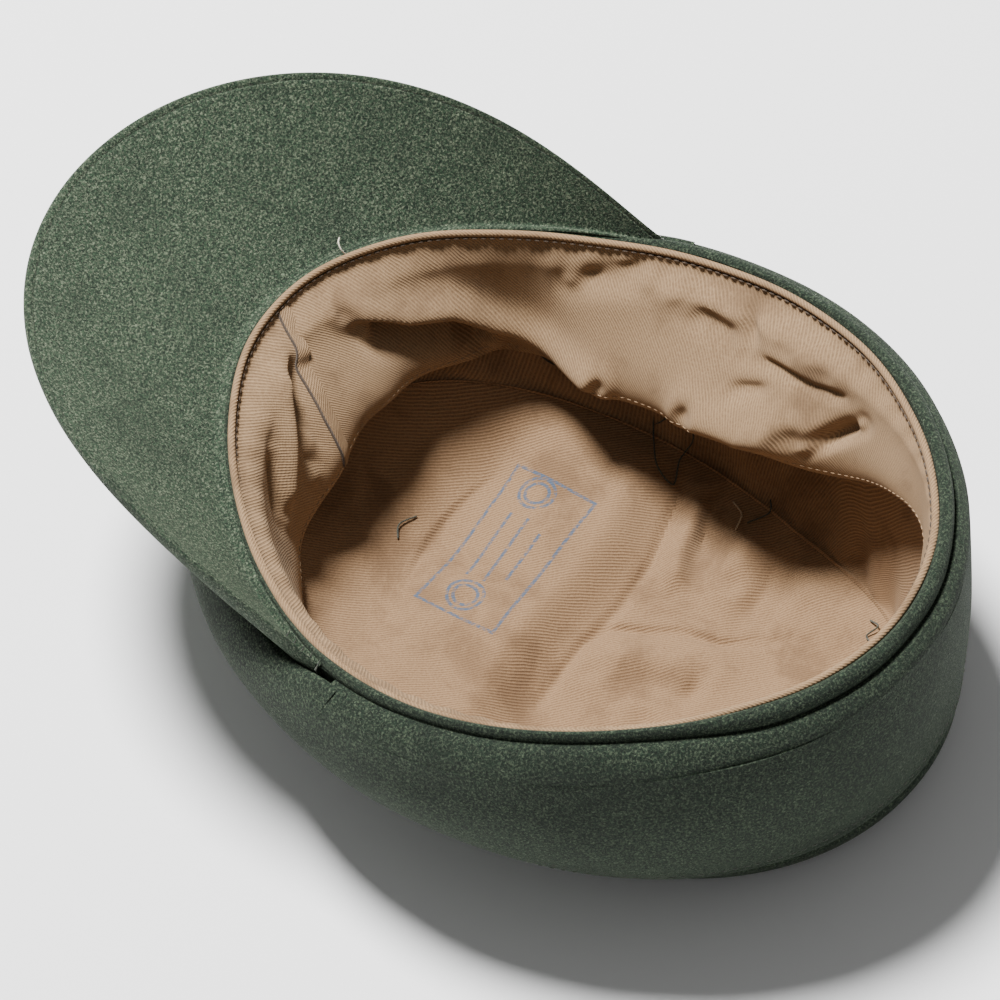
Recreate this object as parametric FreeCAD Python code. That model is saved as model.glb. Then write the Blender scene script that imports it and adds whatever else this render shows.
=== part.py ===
# Soft wool field cap with a peak and a buttoned fold-down flap, lying on its crown.
# Frame: origin at the middle of the crown's outer face, +Z up out of the head opening,
# -Y to the peak, +X to the side that is on the right when the peak points at the viewer.
# Millimetres. Angles round the cap run from the centre front (0) to the centre back (180).
import FreeCAD, Part
import math
import os

# ---- driving dimensions: head opening and wall ----
OPENING_WIDTH = 168.0        # side to side, between the faces of the sweatband
OPENING_LENGTH = 202.0       # front to back, between the faces of the sweatband
RIM_HEIGHT = 79.0            # mean height of the rim over the crown's outer face
RIM_BACK_RISE = 5.0          # the rim stands this much higher at the back than the mean
RIM_END_RISE = 3.0           # and this much higher at both ends than at the sides
WOOL = 3.0                   # felted wool cloth of the wall and the crown
LINING = 0.7                 # cotton twill
SWEATBAND = 1.1              # doubled cotton twill
LAYER_GAP = 0.1              # between layers that are not sewn face to face
SWEATBAND_DEPTH_SHARE = 0.53 # of the wall's height that the sweatband covers

# ---- driving dimensions: crown ----
CROWN_WIDTH = 148.0
CROWN_LENGTH = 156.0
CROWN_BACK_SHIFT = 22.0      # the crown's middle lies behind the opening's middle
CROWN_EDGE_ROUND = 2.0

# ---- driving dimensions: rim trim ----
HEM_HEIGHT = 3.2
WELT_HEIGHT = 2.4
TRIM_SHOULDER = 0.6          # share of that height at which the rounded top begins
TRIM_TAPER = 0.1             # and the share of the width that each side has drawn in there

# ---- driving dimensions: peak ----
PEAK_LENGTH = 72.0           # from the rim at the centre front
PEAK_END_LENGTH = 5.0        # left at the corners
PEAK_CORNER_ANGLE = 75.0     # round the cap from the centre front
PEAK_TILT = 29.0             # degrees up from level at the centre front
PEAK_SIDE_TILT = 30.0        # more than that at the corners
PEAK_FORWARD_SHARE = 0.27    # 0 fans out square to the rim, 1 runs straight forward
PEAK_OUTLINE_POWER = 2.0
PEAK_END_POWER = 1.3
PEAK_CLOTH = 1.5
PEAK_BOARD = 1.4
PEAK_HEM_WIDTH = 2.5
PEAK_DROP = 1.0              # the peak's upper face starts this far below the rim

# ---- driving dimensions: flap ----
FLAP_STANDOFF = 7.5          # from the wall at the rim to the flap's outer face, at the sides
FLAP_END_STANDOFF = 6.5      # the same at the centre back
FLAP_THICKNESS = 3.6
FLAP_TOP_DROP = 7.0          # the flap's hinge lies this far below the rim
FLAP_EDGE_BACK = 20.0        # height of the free edge at the back
FLAP_EDGE_FRONT = 34.0       # height of the free edge at the front
FLAP_LEAN_BACK = 3.0         # degrees that the flap leans in towards its free edge
FLAP_LEAN_TEMPLE = 6.0
FLAP_LEAN_FRONT = 9.0
FLAP_FRONT_DROP = 4.0        # the front ends start this much lower than the rest
TEMPLE_ANGLE = 80.0          # where the sewn part of the flap ends
STAVES_PER_SIDE = 6
FRONT_PIECES_PER_SIDE = 3    # and one more, square across the front
FRONT_HALF_ANGLE = 11.6
CLEARANCE = 0.3              # between pieces that move on each other
FOLD_INSET = 2.0             # the rounded fold at the rim stays this far inside the flap's face
TAB_THICKNESS = 2.0
TAB_OVERLAP = 17.0
TAB_MARGIN = 1.2
BUTTON_RADIUS = 6.0
BUTTON_HEIGHT = 3.2
BUTTON_SPACING = 16.0
BUTTON_OFFSET = 6.0
SHANK_RADIUS = 1.3
BUTTONHOLE_LENGTH = 14.0
TAB_CORNER = 6.0

# ---- worked out from them ----
SWEAT_FACE = WOOL + LAYER_GAP + LINING + LAYER_GAP + SWEATBAND
WALL_WIDTH = OPENING_WIDTH / 2 + SWEAT_FACE      # half width over the wool at the rim
WALL_LENGTH = OPENING_LENGTH / 2 + SWEAT_FACE    # half length over the wool at the rim
LINING_OUT = -(WOOL + LAYER_GAP)
LINING_IN = LINING_OUT - LINING
SWEAT_OUT = LINING_IN - LAYER_GAP
SWEAT_IN = -SWEAT_FACE
PEAK_THICKNESS = 2 * PEAK_CLOTH + PEAK_BOARD + 2 * LAYER_GAP

# Stations up the wall: share of the height, share of the way from the crown's
# outline to the rim's, and how far the side swells past that.
STATIONS = [
    (0.00, 0.00, 0.0),
    (0.12, 0.28, 0.3),
    (0.28, 0.58, 0.5),
    (0.48, 0.84, 0.3),
    (0.72, 0.97, 0.0),
    (0.92, 1.00, 0.0),
    (1.00, 1.00, 0.0),
]
FLOOR = WOOL

os.makedirs("parts", exist_ok=True)


def vector(x, y, z):
    return FreeCAD.Vector(x, y, z)


def rim_height(angle):
    turn = math.radians(angle)
    return RIM_HEIGHT - RIM_BACK_RISE * math.cos(turn) + RIM_END_RISE * math.cos(2 * turn)


def oval(angle, half_width, half_length, middle=0.0):
    turn = math.radians(angle)
    return half_width * math.sin(turn), middle - half_length * math.cos(turn)


def wall_point(angle, station, offset, floor=FLOOR):
    height, share, swell = station
    half_width = CROWN_WIDTH / 2 + share * (WALL_WIDTH - CROWN_WIDTH / 2) + swell + offset
    half_length = CROWN_LENGTH / 2 + share * (WALL_LENGTH - CROWN_LENGTH / 2) + offset
    x, y = oval(angle, half_width, half_length, CROWN_BACK_SHIFT * (1 - share))
    return vector(x, y, floor + height * (rim_height(angle) - floor))


def rim_point(angle, offset, rise):
    x, y = oval(angle, WALL_WIDTH + offset, WALL_LENGTH + offset)
    return vector(x, y, rim_height(angle) + rise)


def spread(start, end, count):
    return [start + (end - start) * i / (count - 1) for i in range(count)]


def surface_through(grid):
    surface = Part.BSplineSurface()
    surface.interpolate(grid)
    return surface


def boundaries(surface):
    u0, u1, v0, v1 = surface.bounds()
    curves = [surface.uIso(u0), surface.uIso(u1), surface.vIso(v0), surface.vIso(v1)]
    return [curve.toShape() for curve in curves]


def closed_solid(faces, name):
    shell = Part.makeShell(faces)
    shell.sewShape()
    solid = Part.makeSolid(shell)
    if solid.Volume < 0:
        solid.reverse()
    if not (solid.isValid() and solid.Volume > 0 and solid.Shells[0].isClosed()):
        raise ValueError(name + " is not a closed solid")
    return solid


def solid_between(grid_a, grid_b, name):
    """A solid between two faces given as grids of points of the same size."""
    surface_a = surface_through(grid_a)
    surface_b = surface_through(grid_b)
    faces = [surface_a.toShape(), surface_b.toShape()]
    for edge_a, edge_b in zip(boundaries(surface_a), boundaries(surface_b)):
        faces.append(Part.makeRuledSurface(edge_a, edge_b))
    return closed_solid(faces, name)


def end_cap(edge):
    closing = Part.LineSegment(edge.Vertexes[-1].Point, edge.Vertexes[0].Point)
    return Part.Face(Part.Wire([edge, closing.toShape()]))


def bead(angles, profile, name):
    """A strip along the rim: a domed top through the profile, closed by a flat underside."""
    top = surface_through([[rim_point(a, offset, rise) for offset, rise in profile] for a in angles])
    first_end, last_end, outer, inner = boundaries(top)
    faces = [top.toShape(), Part.makeRuledSurface(outer, inner)]
    for edge in (first_end, last_end):
        faces.append(end_cap(edge))
    return closed_solid(faces, name)


def save(name, shape):
    shape.exportStep("parts/" + name + ".step")
    print("node", name, round(shape.Volume, 1), len(shape.Solids), shape.isValid())


# ---- wall, crown and lining ----
def wall_layer(angles, stations, outer, inner, floor, name):
    grids = []
    for offset in (outer, inner):
        grids.append([[wall_point(a, s, offset, floor) for s in stations] for a in angles])
    return solid_between(grids[0], grids[1], name)


def oval_plate(half_width, half_length, bottom, top):
    """An oval plate centred on the crown."""
    big, small = max(half_width, half_length), min(half_width, half_length)
    ellipse = Part.Ellipse(vector(0, 0, 0), big, small)
    disc = Part.Face(Part.Wire(ellipse.toShape())).extrude(vector(0, 0, top - bottom))
    if half_length >= half_width:
        disc.rotate(vector(0, 0, 0), vector(0, 0, 1), 90)
    disc.translate(vector(0, CROWN_BACK_SHIFT, bottom))
    return disc


crown = oval_plate(CROWN_WIDTH / 2, CROWN_LENGTH / 2, 0, WOOL)
lower_edges = [edge for edge in crown.Edges if edge.BoundBox.ZMax < WOOL / 2]
save("crown_panel", crown.makeFillet(min(CROWN_EDGE_ROUND, WOOL * 0.8), lower_edges))
lining_floor = WOOL + LINING
save("crown_lining", oval_plate(CROWN_WIDTH / 2 + LINING_OUT, CROWN_LENGTH / 2 + LINING_OUT,
                                WOOL, lining_floor))

def trim(outer, inner, height):
    """The domed section of a trim between two offsets from the wall's outer face."""
    shoulder = TRIM_SHOULDER * height
    taper = TRIM_TAPER * (outer - inner)
    return [(outer, 0), (outer - taper, shoulder), ((outer + inner) / 2, height),
            (inner + taper, shoulder), (inner, 0)]


RIGHT = spread(0, 180, 31)
LEFT = spread(360, 180, 31)
for side, angles in (("right", RIGHT), ("left", LEFT)):
    save("side_panel_" + side, wall_layer(angles, STATIONS, 0, -WOOL, FLOOR, "side panel"))
    save("lining_side_" + side,
         wall_layer(angles, STATIONS, LINING_OUT, LINING_IN, lining_floor, "lining side"))
    save("rim_hem_" + side, bead(angles, trim(0, LAYER_GAP - WOOL, HEM_HEIGHT), "rim hem"))

ROUND = spread(1, 359, 61)
band = [s for s in STATIONS if s[0] >= 1 - SWEATBAND_DEPTH_SHARE]
save("sweatband", wall_layer(ROUND, band, SWEAT_OUT, SWEAT_IN, lining_floor, "sweatband"))
save("sweatband_welt", bead(ROUND, trim(LINING_OUT, SWEAT_IN, WELT_HEIGHT), "sweatband welt"))


# ---- peak ----
def peak_reach(share):
    fall = (1 - abs(share) ** PEAK_OUTLINE_POWER) ** PEAK_END_POWER
    return PEAK_END_LENGTH + (PEAK_LENGTH - PEAK_END_LENGTH) * fall


def peak_point(share, distance, lift):
    """share -1..1 along the rim, distance out from it, lift square to the lower face."""
    angle = PEAK_CORNER_ANGLE * share
    foot = rim_point(angle, LAYER_GAP, -PEAK_DROP)
    turn = math.radians(angle)
    square = vector(math.sin(turn) / WALL_WIDTH, -math.cos(turn) / WALL_LENGTH, 0)
    square.normalize()
    ahead = square * (1 - PEAK_FORWARD_SHARE) + vector(0, -PEAK_FORWARD_SHARE, 0)
    ahead.normalize()
    tilt = math.radians(PEAK_TILT + PEAK_SIDE_TILT * share ** 2)
    slope = ahead * math.cos(tilt) + vector(0, 0, math.sin(tilt))
    upright = vector(0, 0, 1 / math.cos(tilt))
    return foot + slope * distance + upright * (lift - PEAK_THICKNESS)


def peak_layer(lift_a, lift_b, inner_gap, outer_gap, name):
    """inner_gap is None to start at the rim, or how far inside the edge the layer starts."""
    grids = []
    for lift in (lift_a, lift_b):
        grid = []
        for share in spread(-1, 1, 41):
            reach = peak_reach(share)
            start = 0.0 if inner_gap is None else reach - inner_gap
            steps = spread(start, reach - outer_gap, 6)
            grid.append([peak_point(share, distance, lift) for distance in steps])
        grids.append(grid)
    return solid_between(grids[0], grids[1], name)


board_low = PEAK_CLOTH + LAYER_GAP
board_high = board_low + PEAK_BOARD
board_gap = PEAK_HEM_WIDTH + LAYER_GAP
save("peak_top_cover", peak_layer(0, PEAK_CLOTH, None, 0, "peak top cover"))
save("peak_board", peak_layer(board_low, board_high, None, board_gap, "peak board"))
save("peak_hem", peak_layer(board_low, board_high, PEAK_HEM_WIDTH, 0, "peak hem"))
save("peak_under_cover",
     peak_layer(board_high + LAYER_GAP, PEAK_THICKNESS, None, 0, "peak under cover"))


# ---- flap ----
def flap_corner(angle):
    x, y = oval(angle, WALL_WIDTH + FLAP_STANDOFF, WALL_LENGTH + FLAP_END_STANDOFF)
    return vector(x, y, 0)


def flap_top(angle):
    ahead = max(0.0, 1 - angle / TEMPLE_ANGLE)
    return rim_height(angle) - FLAP_TOP_DROP - FLAP_FRONT_DROP * ahead


def flap_bottom(angle):
    share = min(1.0, max(0.0, (130 - angle) / 110))
    ease = share * share * (3 - 2 * share)
    return FLAP_EDGE_BACK + (FLAP_EDGE_FRONT - FLAP_EDGE_BACK) * ease


def flap_lean(angle):
    if angle > TEMPLE_ANGLE:
        share = (180 - angle) / (180 - TEMPLE_ANGLE)
        return FLAP_LEAN_BACK + (FLAP_LEAN_TEMPLE - FLAP_LEAN_BACK) * share
    share = 1 - angle / TEMPLE_ANGLE
    return FLAP_LEAN_TEMPLE + (FLAP_LEAN_FRONT - FLAP_LEAN_TEMPLE) * share


class Plane:
    """A plane through a point, with a unit normal that points out of the solid."""

    def __init__(self, point, normal):
        self.normal = FreeCAD.Vector(normal)
        self.normal.normalize()
        self.point = point

    def moved(self, distance):
        return Plane(self.point + self.normal * distance, self.normal)

    def reach(self):
        return self.normal.dot(self.point)


def meet(a, b, c):
    """The point that three planes share."""
    across = b.normal.cross(c.normal)
    total = across * a.reach()
    total += c.normal.cross(a.normal) * b.reach()
    total += a.normal.cross(b.normal) * c.reach()
    return total * (1 / a.normal.dot(across))


def outward(point, next_point):
    """Level, square to the run between two corners, and away from the middle."""
    run = next_point - point
    side = vector(run.y, -run.x, 0)
    side.normalize()
    return side if side.dot(point + next_point) > 0 else side * -1


def flap_face(start, end, lean):
    """The outer face of one flap piece: through its top edge, leaning in below it."""
    level = outward(start, end)
    tip = math.radians(lean)
    down = vector(0, 0, -math.cos(tip)) - level * math.sin(tip)
    normal = (end - start).cross(down)
    return Plane(start, normal if normal.dot(level) > 0 else normal * -1)


def joint_plane(point, normal_here, normal_there):
    """The plane halfway between two neighbouring faces, facing away from the first."""
    return Plane(point, normal_there - normal_here)


def flap_piece(face, start, end, bottoms, start_plane, end_plane, skin_trim=0.0):
    """A flat-faced piece of the flap between two joint planes."""
    outer = face.moved(-skin_trim)
    inner = face.moved(-FLAP_THICKNESS)
    sides = (start_plane.moved(-CLEARANCE / 2), end_plane.moved(-CLEARANCE / 2))
    level = outward(start, end)
    top = Plane(start, (end - start).cross(level))
    low_start = vector(start.x, start.y, bottoms[0])
    low_end = vector(end.x, end.y, bottoms[1])
    bottom = Plane(low_start, (low_end - low_start).cross(level))
    rings = []
    for cut in (top, bottom):
        rings.append([meet(cut, outer, sides[0]), meet(cut, outer, sides[1]),
                      meet(cut, inner, sides[1]), meet(cut, inner, sides[0])])
    faces = [Part.Face(Part.makePolygon(ring + ring[:1])) for ring in rings]
    for i in range(4):
        j = (i + 1) % 4
        corners = [rings[0][i], rings[0][j], rings[1][j], rings[1][i]]
        faces.append(Part.Face(Part.makePolygon(corners + corners[:1])))
    return closed_solid(faces, "flap piece")


def mirrored(point, side):
    return vector(point.x * side, point.y, point.z)


def print_hinge(name, point, axis):
    values = [point.x, point.y, point.z, axis.x, axis.y, axis.z]
    print("hinge", name, " ".join("%.5f" % v for v in values))


fold_base = CLEARANCE - FLAP_TOP_DROP
fold_edge = FLAP_STANDOFF - FOLD_INSET
fold_upper = [(fold_edge, fold_base + 0.6), (0.88 * fold_edge, fold_base + 2.3),
              (0.62 * fold_edge, fold_base + 3.5), (0.3 * fold_edge, fold_base + 2.1),
              (0.0, fold_base + 1.1)]


def fold_point(angle, offset, rise):
    """Like rim_point, but the offset shrinks to the smaller stand-off at the back."""
    share = offset / FLAP_STANDOFF
    x, y = oval(angle, WALL_WIDTH + FLAP_STANDOFF * share, WALL_LENGTH + FLAP_END_STANDOFF * share)
    return vector(x, y, rim_height(angle) + rise)


def root_fold(angles):
    """The rounded fold of the flap's cloth that the moving part of the flap hangs from."""
    upper = [[fold_point(a, offset, rise) for offset, rise in fold_upper] for a in angles]
    under = [[fold_point(a, offset, fold_base) for offset, rise in fold_upper] for a in angles]
    return solid_between(upper, under, "flap root fold")


save("flap_root_fold_right", root_fold(spread(TEMPLE_ANGLE, 180, 31)))
save("flap_root_fold_left", root_fold(spread(360 - TEMPLE_ANGLE, 180, 31)))

# Corners of the flap's upper edge on one side, from the centre back to the centre front.
sewn_step = (180 - TEMPLE_ANGLE) / STAVES_PER_SIDE
front_step = (TEMPLE_ANGLE - FRONT_HALF_ANGLE) / FRONT_PIECES_PER_SIDE
turns = [180 - i * sewn_step for i in range(STAVES_PER_SIDE + 1)]
turns += [TEMPLE_ANGLE - (i + 1) * front_step for i in range(FRONT_PIECES_PER_SIDE)]
corners = [flap_corner(a) + vector(0, 0, flap_top(a)) for a in turns]
bottoms = [flap_bottom(a) for a in turns]
corners.append(vector(0, corners[-1].y, corners[-1].z))
bottoms.append(bottoms[-1])
turns.append(turns[-1])
names = ["flap_%s_" + str(i + 1) for i in range(STAVES_PER_SIDE)]
names += ["flap_front_%s_" + str(i + 1) for i in range(FRONT_PIECES_PER_SIDE + 1)]

for side, label in ((1, "right"), (-1, "left")):
    points = [mirrored(p, side) for p in corners]
    faces = []
    for i in range(len(names)):
        lean = flap_lean((turns[i] + turns[i + 1]) / 2 if i < len(names) - 1 else 0)
        faces.append(flap_face(points[i], points[i + 1], lean))
    for i, pattern in enumerate(names):
        name = pattern % label
        here = faces[i].normal
        before = faces[i - 1].normal if i > 0 else mirrored(here, -1)
        last = i == len(names) - 1
        after = here if last else faces[i + 1].normal
        start_plane = joint_plane(points[i], here, before)
        if last:
            end_plane = Plane(points[-1], vector(-side, 0, 0))
        else:
            end_plane = joint_plane(points[i + 1], here, after)
        trim = CLEARANCE if last and side > 0 else 0.0
        save(name, flap_piece(faces[i], points[i], points[i + 1], bottoms[i:i + 2],
                              start_plane, end_plane, trim))
        if i < STAVES_PER_SIDE:
            axis = (points[i + 1] - points[i]) * side
            axis.normalize()
            print_hinge(name, (points[i] + points[i + 1]) * 0.5, axis)
        else:
            axis = before.cross(here)
            axis.normalize()
            if axis.z * side < 0:
                axis = axis * -1
            half_way = axis * (side * (bottoms[i] - points[i].z) / 2)
            print_hinge(name, points[i] + half_way, axis)
            print("bend", name, "%.4f" % math.degrees(before.getAngle(here)))

# ---- button closure, made upright and then leaned in with the front of the flap ----
front_line = corners[-1]
front_top = front_line.z - TAB_MARGIN
front_bottom = bottoms[-1] + TAB_MARGIN
front_middle = (front_top + front_bottom) / 2
tab_start = TAB_MARGIN - corners[-2].x


def leaned(shape):
    shape.rotate(front_line, vector(1, 0, 0), flap_lean(0))
    return shape


tab = Part.makeBox(TAB_OVERLAP - tab_start, TAB_THICKNESS, front_top - front_bottom,
                   vector(tab_start, front_line.y - TAB_THICKNESS, front_bottom))
tip_edges = [e for e in tab.Edges if e.BoundBox.XMin > TAB_OVERLAP - 0.1 and e.BoundBox.ZLength < 0.1]
tab = tab.makeFillet(TAB_CORNER, tip_edges)
disc_back = front_line.y - TAB_THICKNESS - CLEARANCE
shank_foot = front_line.y + CLEARANCE
for place, label in ((-0.5, "lower"), (0.5, "upper")):
    height = front_middle + place * BUTTON_SPACING
    half_slot = SHANK_RADIUS + CLEARANCE
    slot = Part.makeBox(BUTTONHOLE_LENGTH, 3 * TAB_THICKNESS, 2 * half_slot,
                        vector(BUTTON_OFFSET - BUTTONHOLE_LENGTH / 2,
                               front_line.y - 2 * TAB_THICKNESS, height - half_slot))
    tab = tab.cut(slot)
    shank = Part.makeCylinder(SHANK_RADIUS, shank_foot - disc_back,
                              vector(BUTTON_OFFSET, shank_foot, height), vector(0, -1, 0))
    save("button_thread_" + label, leaned(shank))
    disc = Part.makeCylinder(BUTTON_RADIUS, BUTTON_HEIGHT,
                             vector(BUTTON_OFFSET, disc_back, height), vector(0, -1, 0))
    circles = [e for e in disc.Edges if e.BoundBox.YLength < 0.01 and e.Length > BUTTON_RADIUS]
    fronts = [e for e in circles if e.BoundBox.YMax < disc_back - BUTTON_HEIGHT / 2]
    save("button_" + label, leaned(disc.makeFillet(BUTTON_HEIGHT * 0.45, fronts)))
save("flap_button_tab", leaned(tab))
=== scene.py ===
import math

import bmesh
import bpy
import numpy as np
from mathutils import Matrix, Vector


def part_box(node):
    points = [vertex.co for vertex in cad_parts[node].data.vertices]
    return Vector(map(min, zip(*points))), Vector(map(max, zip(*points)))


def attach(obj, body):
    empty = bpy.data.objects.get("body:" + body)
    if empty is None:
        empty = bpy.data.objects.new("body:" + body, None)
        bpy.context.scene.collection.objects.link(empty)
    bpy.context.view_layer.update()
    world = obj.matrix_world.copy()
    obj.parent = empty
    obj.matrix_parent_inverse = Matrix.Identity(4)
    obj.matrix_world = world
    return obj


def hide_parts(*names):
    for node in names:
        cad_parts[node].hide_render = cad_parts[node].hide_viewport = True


MM = 0.001
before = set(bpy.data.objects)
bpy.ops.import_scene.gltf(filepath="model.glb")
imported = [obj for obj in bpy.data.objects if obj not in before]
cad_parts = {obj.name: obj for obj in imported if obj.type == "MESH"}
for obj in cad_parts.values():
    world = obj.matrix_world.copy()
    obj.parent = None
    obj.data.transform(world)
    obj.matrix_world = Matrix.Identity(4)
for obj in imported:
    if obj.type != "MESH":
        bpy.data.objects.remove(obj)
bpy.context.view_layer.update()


# ---- sizes from the frame
def corners_mm(node):
    low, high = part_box(node)
    return np.array(low) / MM, np.array(high) / MM


def top_at(node, angle):
    """Highest point of a CAD wall piece near an angle round the cap, in mm."""
    points = np.array([v.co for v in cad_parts[node].data.vertices]) / MM
    turn = np.degrees(np.arctan2(points[:, 0] / WALL_WIDTH, -points[:, 1] / WALL_LENGTH))
    return points[np.abs(turn - angle) < 4.0, 2].max()


WALL_WIDTH = corners_mm("side_panel_right")[1][0]
WALL_LENGTH = corners_mm("side_panel_right")[1][1]
RIM_FRONT, RIM_SIDE, RIM_BACK = [top_at("side_panel_right", a) for a in (1, 90, 179)]
crown_low, crown_high = corners_mm("crown_panel")
CROWN_MIDDLE = (crown_high[1] + crown_low[1]) / 2
WOOL = crown_high[2]
FLAP_EDGE_BACK = corners_mm("flap_right_1")[0][2]
FLAP_EDGE_FRONT = corners_mm("flap_front_right_4")[0][2]
FLAP_DROP = RIM_BACK - corners_mm("flap_right_1")[1][2]
FLAP_HALF_WIDTH = corners_mm("flap_right_6")[1][0]
FLAP_HALF_LENGTH = corners_mm("flap_right_1")[1][1]
BUTTON_LOW, BUTTON_HIGH = corners_mm("button_lower")
BUTTON_RADIUS = (BUTTON_HIGH[0] - BUTTON_LOW[0]) / 2

# ---- sizes of the soft parts
TEMPLE = 80.0            # degrees from the centre front, where the sewn part of the flap ends
STAVES = 6               # hinged pieces on each side of the sewn part
FRONTS = 3               # and on each side of the loose front, before the square end
FRONT_HALF_ANGLE = 11.6
FLAP_CLOTH = 3.6
STITCH_RISE = 7.0        # from the flap's free edge up to its row of stitches
TUCK = 3.4               # degrees that each piece of the flap runs into the next one
TUCK_INSET = 0.8
LINING_EDGE = -5.0       # offset of the sweatband's face from the outside of the wall
TWILL_RIB = 0.85         # distance between the diagonal ribs of the twill
CROSS_THREAD = 0.42      # distance between its cross threads
PEAK_REACH = 67.65
PEAK_END = 5.0
PEAK_CORNER = 75.0
PEAK_TILT = 25.2
PEAK_SIDE_TILT = 47.8
PEAK_FORWARD = 0.30
PEAK_THICK = 4.6
HEM_WIDTH = 3.2

# How far the worn rim has gone out of true: order, cosine and sine part, in mm.
OUT_OF_TRUE = [(1, 2.0, -1.0), (2, 1.8, 0.2), (3, 0.5, -1.4), (4, 1.1, -0.8)]
UP_AND_DOWN = [(1, -0.6, -0.4), (2, -0.3, -0.3), (3, 1.4, 0.1)]


def harmonics(turn, table):
    turn = np.radians(turn)
    return sum(c * np.cos(n * turn) + s * np.sin(n * turn) for n, c, s in table)


def from_front(turn, middle=0.0):
    """Degrees between an angle round the cap and another, at most 180."""
    return np.abs((turn - middle + 180) % 360 - 180)


def ease(x):
    x = np.clip(x, 0.0, 1.0)
    return x * x * (3 - 2 * x)


def rim_height(turn):
    mean = (RIM_FRONT + RIM_BACK + 2 * RIM_SIDE) / 4
    back_rise = (RIM_BACK - RIM_FRONT) / 2
    end_rise = (RIM_FRONT + RIM_BACK - 2 * RIM_SIDE) / 4
    a = np.radians(turn)
    return mean - back_rise * np.cos(a) + end_rise * np.cos(2 * a) + harmonics(turn, UP_AND_DOWN)


def ripple(turn, height, seed, amount):
    """Slow unevenness of hand-worn cloth."""
    a = np.radians(turn)
    total = np.sin(5 * a + seed + height * 0.05) + 0.7 * np.sin(9 * a + 2.3 * seed - height * 0.09)
    total = total + 0.5 * np.sin(17 * a + 1.7 * seed + height * 0.13)
    return amount * total / 2


def points(x, y, z):
    x, y, z = np.broadcast_arrays(x, y, z)
    return np.stack([x, y, z], axis=-1).astype(float)


def outline(turn, half_width, half_length, middle_x=0.0, middle_y=0.0):
    a = np.radians(turn)
    return middle_x + half_width * np.sin(a), middle_y - half_length * np.cos(a)


def rim_point(turn, offset, rise):
    """A point near the rim: offset out from the wall's outer face, rise above the rim."""
    shift = harmonics(turn, OUT_OF_TRUE) + offset
    x, y = outline(turn, WALL_WIDTH + shift, WALL_LENGTH + shift)
    return points(x, y, rim_height(turn) + rise)


def inward(turn):
    """Unit direction, level, from the rim into the cap, square to the rim."""
    a = np.radians(turn)
    x, y = -np.sin(a) / WALL_WIDTH, np.cos(a) / WALL_LENGTH
    length = np.sqrt(x * x + y * y)
    return points(x / length, y / length, 0.0)


# The outline of the whole cap seen from above, at the rim, half way down and near the
# crown: half width, half length, and where its middle lies across and along.
HULL_TOP = np.array([FLAP_HALF_WIDTH - 1.8, FLAP_HALF_LENGTH - 1.3, 0.0, 0.0])
HULL_MIDDLE = np.array([96.5, 113.1, 2.2, 0.5])
HULL_LOW = np.array([75.6, 84.9, -4.1, 24.4])
HULL_LOW_SHARE = 0.86
FRONT_FLATNESS = 9.0     # the buttoned front is drawn in by this much


def hull_point(turn, height, depth=0.0):
    """The outside of the flap, or of the bare wall below it, at a height; depth goes inside."""
    share = (1 - height / rim_height(turn)) / HULL_LOW_SHARE
    low = np.minimum(share, 1.0)
    top, middle, end = (1 - low) * (1 - 2 * low), 4 * low * (1 - low), low * (2 * low - 1)
    wide, long, across, along = [
        HULL_TOP[k] * top + HULL_MIDDLE[k] * middle + HULL_LOW[k] * end for k in range(4)
    ]
    shrink = 9.0 * np.clip((share - 1) / (1 / HULL_LOW_SHARE - 1), 0, 1) ** 1.5
    shift = harmonics(turn, OUT_OF_TRUE) * top - shrink - depth
    x, y = outline(turn, wide + shift, long + shift, across, along)
    middle = ease((36 - from_front(turn)) / 22)
    return points(x, y + FRONT_FLATNESS * middle * np.exp(-((height - 57) / 16) ** 2), height)


def flap_edge(turn):
    """Height of the flap's free edge."""
    share = ease((130 - from_front(turn)) / 110)
    return FLAP_EDGE_BACK + (FLAP_EDGE_FRONT - FLAP_EDGE_BACK) * share


def flap_top(turn):
    """Where the hanging part of the flap starts; its loose ends slip down under the peak."""
    folded = from_front(turn)
    loose = np.max(folded) < TEMPLE + 1
    slipped = ease((52 - folded) / 25) + 0.2 * ease((78 - folded) / 8)
    return rim_height(turn) - FLAP_DROP + 6.6 * loose - 9.0 * slipped * loose


# ---- mesh building
def grid_faces(rows, columns, wrap=False):
    last = columns if wrap else columns - 1
    i, j = np.meshgrid(np.arange(rows - 1), np.arange(last), indexing="ij")
    k = (j + 1) % columns
    quads = [i * columns + j, (i + 1) * columns + j, (i + 1) * columns + k, i * columns + k]
    return np.stack(quads, -1).reshape(-1, 4).tolist()


def cloth_places(grid):
    """Distance along and across a sheet at each of its points, for the weave."""
    along = np.linalg.norm(np.diff(grid, axis=0), axis=2).mean(axis=1)
    across = np.linalg.norm(np.diff(grid, axis=1), axis=2).mean(axis=0)
    u = np.concatenate([[0], np.cumsum(along)])
    v = np.concatenate([[0], np.cumsum(across)])
    u, v = np.meshgrid(u, v, indexing="ij")
    return np.stack([u, v], -1)


def sheet_part(front, back, places=None):
    """A closed sheet between two grids of points of the same size."""
    rows, columns = front.shape[:2]
    places = cloth_places(front) if places is None else places
    count = rows * columns
    faces = grid_faces(rows, columns)
    faces += [[count + v for v in reversed(face)] for face in grid_faces(rows, columns)]
    index = np.arange(count).reshape(rows, columns)
    ring = [*index[:, 0], *index[-1, 1:], *index[-2::-1, -1], *index[0, -2:0:-1]]
    for a, b in zip(ring, ring[1:] + ring[:1]):
        faces.append([int(b), int(a), int(a) + count, int(b) + count])
    verts = np.concatenate([front.reshape(-1, 3), back.reshape(-1, 3)])
    uv = np.concatenate([places.reshape(-1, 2)] * 2)
    return verts, faces, uv


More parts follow.
